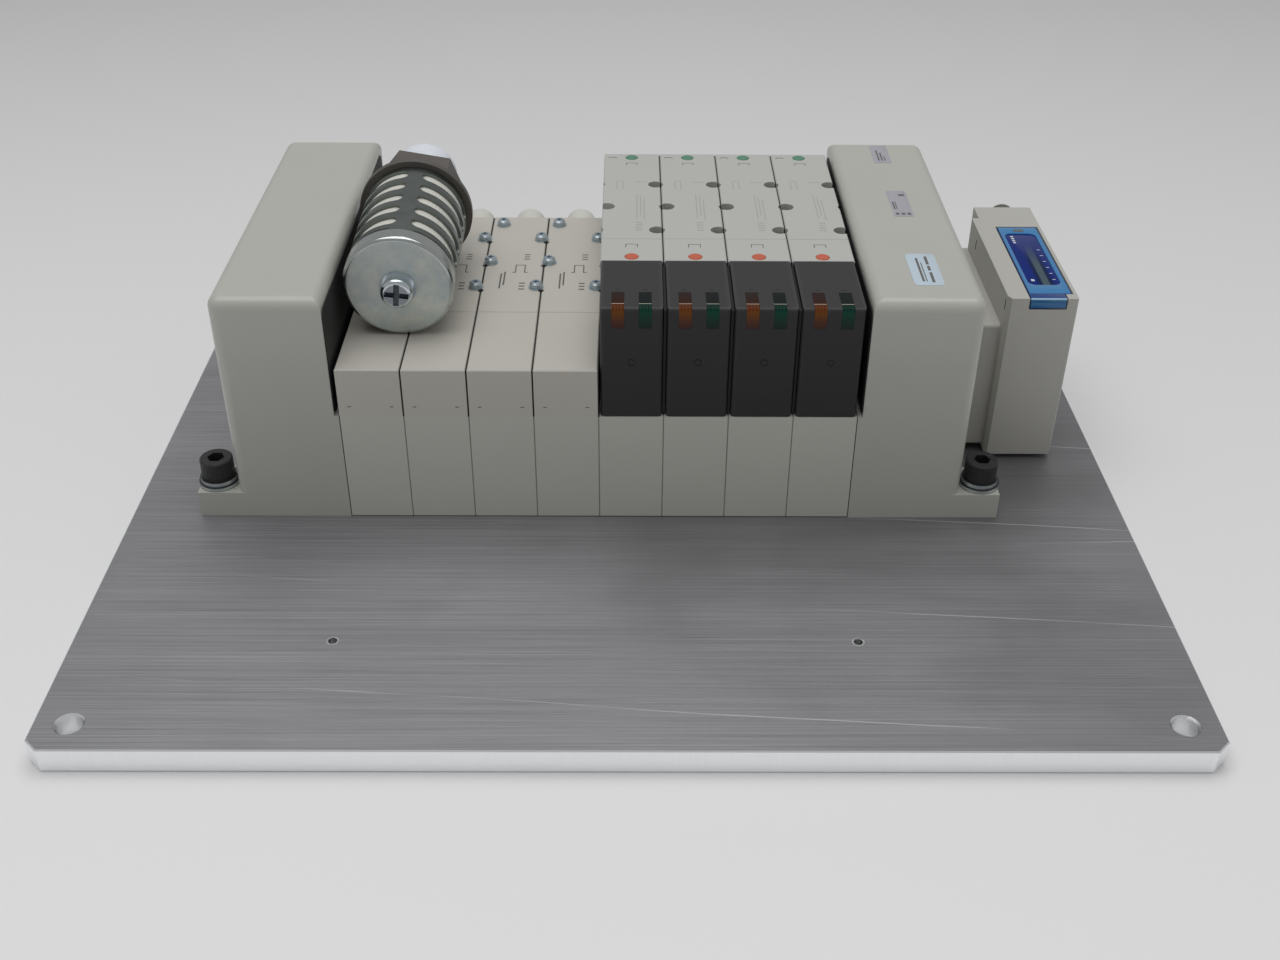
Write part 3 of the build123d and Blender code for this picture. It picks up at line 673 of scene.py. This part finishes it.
def turned(profile, steps=40):
    """A closed profile of (radius, height) spun round Z."""
    shape = bmesh.new()
    verts = [shape.verts.new((radius, 0, height)) for radius, height in profile]
    edges = [shape.edges.new((a, b)) for a, b in zip(verts, verts[1:] + verts[:1])]
    bmesh.ops.spin(shape, geom=verts + edges, cent=(0, 0, 0), axis=(0, 0, 1),
                   angle=2 * pi, steps=steps, use_merge=True, use_duplicate=False)
    bmesh.ops.remove_doubles(shape, verts=shape.verts[:], dist=0.001)
    bmesh.ops.recalc_face_normals(shape, faces=shape.faces[:])
    return shape


def moved(shape, matrix):
    """A shape put in its place by a matrix."""
    bmesh.ops.transform(shape, matrix=matrix, verts=shape.verts[:])
    return shape


def make_piece(name, parts, finish, body="island", replaced=()):
    """Finishes a piece: its mesh in metres, its material, and the body that it rides on."""
    shape = joined(parts)
    bmesh.ops.scale(shape, vec=(MM, MM, MM), verts=shape.verts[:])
    mesh = bpy.data.meshes.new(name)
    shape.to_mesh(mesh)
    shape.free()
    mesh.shade_smooth()
    mesh.set_sharp_from_angle(angle=radians(35))
    mesh.materials.append(finish.material)
    piece = bpy.data.objects.new(name, mesh)
    bpy.context.scene.collection.objects.link(piece)
    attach(piece, body)
    if replaced:
        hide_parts(*replaced)


# Local X, Y and Z laid along the object's Y, Z and X, or X, Z and -Y
FACING_RIGHT = Matrix(((0, 0, 1, 0), (1, 0, 0, 0), (0, 1, 0, 0), (0, 0, 0, 1)))
FACING_FRONT = Matrix(((1, 0, 0, 0), (0, 0, -1, 0), (0, 1, 0, 0), (0, 0, 0, 1)))


# Seals, and dark sheets that also paint the shade in narrow gaps


def make_seals_and_gap_shade():
    """Dark rubber strips in the gaps between stations: partly seals, partly a dark sheet
    painting the gaps' shade.
    """
    strips = []
    inset, clear = 0.4, 0.1
    low, high = valve_low.z + 0.2, valve_high.z - 0.7

    def strip(x, half, front, rear, bottom, top):
        block = slab((x - half, front, bottom), (x + half, rear, top), 0.08, segments=1)
        strips.append(block)

    for seam in range(1, BLANKS + 1):
        strip(row_left + seam * pitch, SEAL_AND_SHADE_HALF, blank_low.y + inset, blank_high.y - inset,
              blank_low.z + 0.2, blank_high.z - inset)
    for seam in range(BLANKS + 1, STATIONS):
        x = row_left + seam * pitch
        front, rear = valve_low.y + clear, valve_high.y - inset
        strip(x, SEAL_AND_SHADE_HALF, front, rear, low, bore_floor - 0.3)
        strip(x, SEAL_AND_SHADE_HALF, head_low.y + clear, valve_low.y - clear, low, high)
        strip(x, COVER_SEAL_AND_SHADE_HALF, cover_low.y + 1.8, head_low.y - clear,
              valve_low.z + 0.3, valve_high.z - 1.7)
        starts = [front] + [y + BORE_HALF for y in SCREW_ROWS]
        ends = [y - BORE_HALF for y in SCREW_ROWS] + [rear]
        for start, end in zip(starts, ends):
            strip(x, SEAL_AND_SHADE_HALF, start, end, bore_floor - 0.3, high)
    make_piece("seals_and_gap_shade", strips, finishes["gasket_rubber"])


def make_linings_and_gap_shade():
    """Dark linings on the end blocks' inner faces with a sunk field: partly seals, partly
    painted shade of the gap.
    """
    linings = []
    low = (cover_low.y + 0.4, blank_low.z + 0.3)
    high = (block_high.y - 21.0, valve_high.z - 1.8)
    for face, facing in ((row_left - BLOCK_RELIEF, 1), (row_right + BLOCK_RELIEF, -1)):
        shape = outline(low, high, LINING, 3.0)
        bmesh.ops.inset_region(shape, faces=shape.faces[:], thickness=2.2)
        field = max(shape.faces, key=lambda part: part.calc_area())
        bmesh.ops.inset_region(shape, faces=[field], thickness=0.3, depth=-0.25)
        shape = thickened(shape, LINING + 0.1)
        side = Matrix.Translation((face, 0, 0)) @ Matrix.Diagonal((facing, 1, 1, 1))
        moved(shape, side @ FACING_RIGHT)
        bmesh.ops.recalc_face_normals(shape, faces=shape.faces[:])
        linings.append(shape)
    make_piece("block_linings_and_gap_shade", linings, finishes["gasket_rubber"])


# Printed marks


def bar(x0, y0, x1, y1, z):
    """A printed bar between two corners, on a face at height z."""
    return slab((x0, y0, z - MARK_SINK), (x1, y1, z + MARK_RISE), 0.08, segments=1)


def bracket(x, y, width, depth, line, z):
    """A square bracket, open towards the front."""
    half = width / 2
    return [
        bar(x - half, y + depth - line, x + half, y + depth, z),
        bar(x - half, y, x - half + line, y + depth - line, z),
        bar(x + half - line, y, x + half, y + depth - line, z),
    ]


def arc(x, y, radius, line, sweep, z):
    """A flat arc that opens towards the front."""
    shape = bmesh.new()
    start = pi / 2 - sweep / 2
    verts = [
        shape.verts.new((reach * cos(start), reach * sin(start), 0))
        for reach in (radius - line / 2, radius + line / 2)
    ]
    edge = shape.edges.new(verts)
    bmesh.ops.spin(shape, geom=verts + [edge], cent=(0, 0, 0), axis=(0, 0, 1), angle=sweep,
                   steps=8, use_merge=False, use_duplicate=False)
    moved(shape, Matrix.Translation((x, y, z + MARK_RISE)))
    return thickened(shape, MARK_RISE + MARK_SINK)


def make_valve_marks():
    """Marks on each valve: a bracket by each button, an arc, and faint bars on the body."""
    dark, faint = [], []
    top = valve_high.z
    for station in range(BLANKS, STATIONS):
        x = station_x(station)
        dark += bracket(x, 9.6, 5.0, 3.0, 0.35, top)
        dark += bracket(x, 94.6, 5.0, 2.2, 0.35, top)
        dark.append(arc(x - 8.6, 101.2, 2.2, 0.55, 2.0, top))
        faint += bracket(x - 5.0, 67.5, 3.0, 9.0, 0.45, top)
        faint.append(bar(x + 1.2, 75.0, x + 6.6, 75.6, top))
        for column, (start, end) in enumerate(((38.0, 62.0), (40.5, 60.0), (36.0, 57.0))):
            offset = 2.0 + 1.5 * column
            faint.append(bar(x + offset, start, x + offset + 0.45, end, top))
        for row in range(4):
            faint.append(bar(x + 1.6, 25.5 + 2.4 * row, x + 4.4, 26.4 + 2.4 * row, top))
    make_piece("valve_marks", dark, print_dark)
    make_piece("valve_faint_marks", faint, print_faint)


def make_blank_marks():
    """Marks on each blanking plate's top: a port bracket and short bars."""
    marks = []
    top = blank_high.z
    for station in range(BLANKS):
        x = station_x(station)
        marks += bracket(x + 2.7, 39.8, 4.4, 7.4, 0.5, top)
        marks += [
            bar(x - 0.6, 39.8, x + 0.5, 40.4, top),
            bar(x + 4.9, 39.8, x + 6.0, 40.4, top),
        ]
        for row in range(3):
            marks.append(bar(x + 3.8, 52.4 + 2.2 * row, x + 6.2, 53.2 + 2.2 * row, top))
            marks.append(bar(x + 3.0, 24.0 + 2.7 * row, x + 5.4, 25.0 + 2.7 * row, top))
        for column, (start, end) in enumerate(((25.0, 39.0), (28.0, 40.5))):
            offset = 1.5 * column
            marks.append(bar(x - 5.4 + offset, start, x - 4.7 + offset, end, top))
    make_piece("blank_marks", marks, print_dark)


def make_blank_dashes():
    """Two dashes low on each blanking plate's front."""
    dashes = []
    low, high = blank_low.z + 4.1, blank_low.z + 4.5
    for station in range(BLANKS):
        for share in (0.18, 0.83):
            x = row_left + (station + share) * pitch
            dash = bar(x - 0.7, low, x + 0.7, high, -blank_low.y)
            dashes.append(moved(dash, FACING_FRONT))
    make_piece("blank_dashes", dashes, print_dark)


def make_cover_marks():
    """A small dash behind each light window."""
    marks = []
    behind = cover_low.y + lens_reach + 1.8
    for station in range(BLANKS, STATIONS):
        for side in (-1, 1):
            x = station_x(station) + side * LENS_OFFSET
            marks.append(bar(x - 0.8, behind, x + 0.8, behind + 0.7, cover_high.z))
    make_piece("cover_marks", marks, finishes["gasket_rubber"])


# Labels on the right-hand end block


# Name, low and high corner, corner radius, finish, and the dashes on it as the
# distances along X and Y from its low corner, width and length
LABELS = (
    ("label_rear", (107.8, 90.0), (115.4, 110.0), 0.6, label_grey,
     ((2.0, 2.5, 0.7, 12.0), (3.4, 2.5, 0.7, 9.0), (4.8, 2.5, 0.5, 5.0))),
    ("label_middle", (108.1, 33.0), (116.2, 59.0), 0.6, label_grey,
     ((0.9, 1.4, 1.5, 2.0), (3.3, 1.4, 1.5, 2.0), (5.7, 1.4, 1.5, 2.0),
      (0.9, 7.0, 0.7, 7.5), (2.0, 7.0, 0.4, 7.5), (4.6, 20.6, 2.6, 1.8))),
    ("label_front", (106.6, -29.4), (118.0, -2.2), 2.0, label_silver,
     ((3.4, 3.2, 0.9, 20.0), (4.9, 3.2, 0.4, 16.0), (7.0, 2.4, 1.1, 8.5),
      (7.0, 12.4, 1.1, 4.0), (7.0, 17.6, 1.1, 7.0))),
)


def make_labels():
    """Three plain plates on the right-hand block's top, each with a few neutral dashes."""
    bottom, top = block_high.z - 0.02, block_high.z + LABEL_RISE
    dashes = []
    for name, low, high, radius, finish, marks in LABELS:
        plate = slab((*low, bottom), (*high, top), radius, rim=0.03)
        make_piece(name, [plate], finish)
        for x, y, width, length in marks:
            x, y = low[0] + x, low[1] + y
            dashes.append(bar(x, y, x + width, y + length, top))
    make_piece("label_dashes", dashes, print_dark)


# Bus module


def lid_corners():
    """The lid frame's outer corners, its opening's corners and its top, less the tab."""
    low, high = corners("display_cover")
    left, right = low.x + HINGE_STUB + LID_GAP, high.x - HINGE_STUB - LID_GAP
    front, rear = low.y + TAB_REACH, high.y - LID_GAP
    opening = ((left + 1.9, front + 8.0), (right - 2.2, rear - 6.3))
    return (left, front), (right, rear), opening, high.z


def make_lid_frame():
    """The lid's light blue frame, with its tab folded over the front edge and its hinge pin."""
    low, high = corners("display_cover")
    (left, front), (right, rear), opening, top = lid_corners()
    tab_right = right - TAB_SHORT
    tab_front, under = low.y + 0.02, top - LID_THICK
    outer = outline((left, front), (right, rear), top, 0.7, 6)
    ring = eased(thickened(band(outer, outline(*opening, top, 3.0, 6)), LID_THICK), 0.2)
    shelf = slab((left, tab_front, under), (tab_right, front + 0.02, top), 0.15, 0.1)
    fall = slab((left, tab_front, low.z + 0.1), (tab_right, low.y + 1.4, under), 0.3, 0.1)
    pin = turned([(0.01, low.x), (0.55, low.x), (0.55, high.x), (0.01, high.x)], 16)
    hinge = Matrix.Translation((0, high.y - LID_THICK / 2, high.z - LID_THICK / 2))
    moved(pin, hinge @ Matrix.Rotation(pi / 2, 4, "Y"))
    make_piece("lid_frame", [ring, shelf, fall, pin], finishes["blue_lid"], "lid",
               ["display_cover"])


def make_lid_window():
    """A deep blue pane in the lid's frame, with printed ticks, and a catch behind it."""
    (left, _), (right, rear), ((x0, y0), (x1, y1)), top = lid_corners()
    pane = slab((x0 + 0.02, y0 + 0.02, top - 1.1), (x1 - 0.02, y1 - 0.02, top - 0.25),
                3.0, 0.15, 6)
    make_piece("lid_window", [pane], window_blue, "lid")
    ticks = []
    face = top - 0.25
    for row in range(6):
        y = y0 + 5.0 + 5.6 * row
        ticks.append(bar(x1 - 2.6, y, x1 - 1.3, y + 0.45, face))
    for row in range(4):
        y = y1 - 9.5 + 2.0 * row
        ticks.append(bar(x0 + 2.2, y, x0 + 3.4, y + 1.2, face))
    ticks.append(bar(x0 + 1.8, y0 + 3.6, x0 + 3.2, y0 + 5.4, face))
    make_piece("lid_ticks", ticks, print_white, "lid")
    middle = (left + right) / 2
    catch = slab((middle - 2.4, rear - 4.8, top - 0.3), (middle + 2.4, rear - 2.2, top + 0.15),
                 1.2, 0.12, 6)
    make_piece("lid_catch", [catch], release_brown, "lid")


def make_housing_slots():
    """Two narrow latch slots in the housing's left side, closed in black."""
    slots = []
    for y, z in ((bus_low.y + 64.2, 79.4), (bus_low.y + 4.6, 81.2)):
        slot = slab((y - 0.5, z - 2.2, 0.0), (y + 0.5, z + 2.2, 0.06), 0.4)
        moved(slot, Matrix.Translation((bus_low.x - 0.05, 0, 0)) @ FACING_RIGHT)
        slots.append(slot)
    make_piece("housing_slots", slots, finishes["gasket_rubber"])


# Silencer and port fittings


def make_thread_tape():
    """Sealing tape over the silencer's thread, raised where it runs over each crest."""
    steps = 2 * TAPE_CRESTS
    outer = []
    for index in range(steps + 1):
        reach = THREAD_RADIUS + (0.42 if index % 2 else 0.2)
        outer.append((reach, TAPE_START + (TAPE_END - TAPE_START) * index / steps))
    bore = THREAD_RADIUS - 0.1
    tape = turned(outer + [(bore, TAPE_END), (bore, TAPE_START)], 56)
    tilt = Matrix.Rotation(radians(SILENCER_TILT - 90), 4, "X")
    moved(tape, Matrix.Translation(SILENCER_FRONT) @ tilt)
    make_piece("thread_tape", [tape], thread_tape)


def make_release_collars():
    """A release collar in the mouth of every port fitting."""
    low, high = corners("port_fittings")
    outwards = Matrix.Rotation(-pi / 2, 4, "X")
    collars = []
    for station in range(STATIONS):
        for z in (low.z + FITTING_RADIUS, high.z - FITTING_RADIUS):
            place = Matrix.Translation((station_x(station), high.y, z))
            collars.append(moved(turned(COLLAR_PROFILE, 24), place @ outwards))
    make_piece("release_collars", collars, finishes["valve_white"])


make_seals_and_gap_shade()
make_linings_and_gap_shade()
make_valve_marks()
make_blank_marks()
make_blank_dashes()
make_cover_marks()
make_labels()
make_lid_frame()
make_lid_window()
make_housing_slots()
make_thread_tape()
make_release_collars()


# Camera, floor and light


def make_camera():
    """Camera in front of the island, above it and looking down."""
    data = bpy.data.cameras.new("camera")
    data.sensor_width = 36.0
    data.lens = LENS_LENGTH
    data.clip_start = 0.01
    camera = bpy.data.objects.new("camera", data)
    bpy.context.scene.collection.objects.link(camera)
    turn = Matrix.Rotation(radians(CAMERA_TURN), 4, "Z")
    down = Matrix.Rotation(radians(90 - CAMERA_DOWN), 4, "X")
    roll = Matrix.Rotation(radians(CAMERA_ROLL), 4, "Z")
    camera.matrix_world = Matrix.Translation(CAMERA_PLACE) @ turn @ down @ roll
    bpy.context.scene.camera = camera


def make_floor():
    """A pale floor with a painted fall-off of light: lighter towards the front, darker towards
    the back.
    """
    mesh = bpy.data.meshes.new("floor")
    shape = bmesh.new()
    bmesh.ops.create_grid(shape, x_segments=1, y_segments=1, size=6.0)
    shape.to_mesh(mesh)
    shape.free()
    floor = bpy.data.objects.new("floor", mesh)
    bpy.context.scene.collection.objects.link(floor)
    finish = Finish("floor")
    cloud = finish.noise(1.5, detail=3.0)
    # Painted light: the floor's colour darkens from the front towards the back.
    depth = finish.y.ramp(-0.3, 0.9)
    near = finish.tint(rgb(241, 241, 242), 0.02)(cloud)
    far = finish.tint(rgb(196, 196, 197), 0.02)(cloud)
    finish.set(Base_Color=finish.mix(depth, near, far), Roughness=0.8)
    mesh.materials.append(finish.material)


def make_light():
    """An even pale world and one large soft lamp overhead, aimed at the origin."""
    world = bpy.data.worlds.new("studio")
    world.use_nodes = True
    background = world.node_tree.nodes["Background"]
    background.inputs["Color"].default_value = (1.0, 1.0, 1.0, 1.0)
    background.inputs["Strength"].default_value = WORLD_STRENGTH
    bpy.context.scene.world = world
    data = bpy.data.lights.new("overhead", "AREA")
    data.shape = "RECTANGLE"
    data.size, data.size_y = LAMP_SIZE
    data.energy = LAMP_POWER
    lamp = bpy.data.objects.new("overhead", data)
    lamp.location = LAMP_PLACE
    lamp.rotation_euler = (-Vector(LAMP_PLACE)).to_track_quat("-Z", "Y").to_euler()
    bpy.context.scene.collection.objects.link(lamp)


make_camera()
make_floor()
make_light()
bpy.context.scene.view_settings.view_transform = "Standard"
